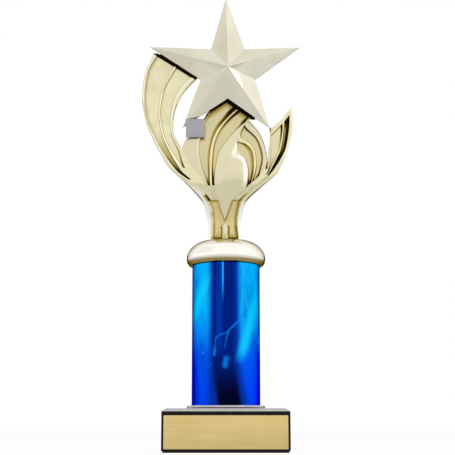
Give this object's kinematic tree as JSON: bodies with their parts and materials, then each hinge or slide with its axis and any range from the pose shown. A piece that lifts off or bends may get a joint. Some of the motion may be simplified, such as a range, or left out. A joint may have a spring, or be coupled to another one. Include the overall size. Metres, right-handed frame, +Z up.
{
  "type": "column trophy",
  "caption": "Free-standing column trophy: bevelled stone base with name plate, foil-wrapped round column with domed lid, and a star carried by curved plumes that turns on a central rod.",
  "frame": {"origin": "centre of the underside of the base, on the rod's axis", "axes": "+Z up along the rod, -Y the front with the name plate, +X to the viewer's right"},
  "size_m": [0.1075, 0.0608, 0.3053],
  "materials": {
    "felt": "black pressed felt",
    "black_stone": "polished black stone with fine grain",
    "tape": "foam and film adhesive tape",
    "brass_plate": "fine brushed brass, lacquered",
    "silver_trim": "silver metallised plastic",
    "tube_plastic": "plain moulded plastic core",
    "blue_foil": "metallic electric-blue marbled foil",
    "gold_lid": "gold metallised plastic, mirror bright",
    "zinc_steel": "zinc-plated steel",
    "gold_figure": "pale gold metallised plastic, bright ribs over grained floors",
    "champagne_star": "champagne metallised plastic, polished facets",
    "silver_plate": "brushed silver"
  },
  "bodies": {
    "stand": {"base_felt": "felt", "stone_base": "black_stone", "name_plate_tape": "tape", "name_plate": "brass_plate", "foot_ring": "silver_trim", "column_tube": "tube_plastic", "column_foil": "blue_foil", "column_lid": "gold_lid", "flat_washer": "zinc_steel"},
    "figure": {"figure_body": "gold_figure", "star_face": "champagne_star", "star_cover": "champagne_star", "badge_plate": "silver_plate", "badge_tape": "tape", "figure_nut": "zinc_steel", "threaded_rod": "zinc_steel", "lock_washer": "zinc_steel", "clamp_nut": "zinc_steel"}
  },
  "joints": [
    {"name": "figure_turn", "type": "hinge", "parent": "stand", "child": "figure", "pos_m": [0, 0, 0.1365], "axis": [0, 0, 1], "continuous": true}
  ]
}
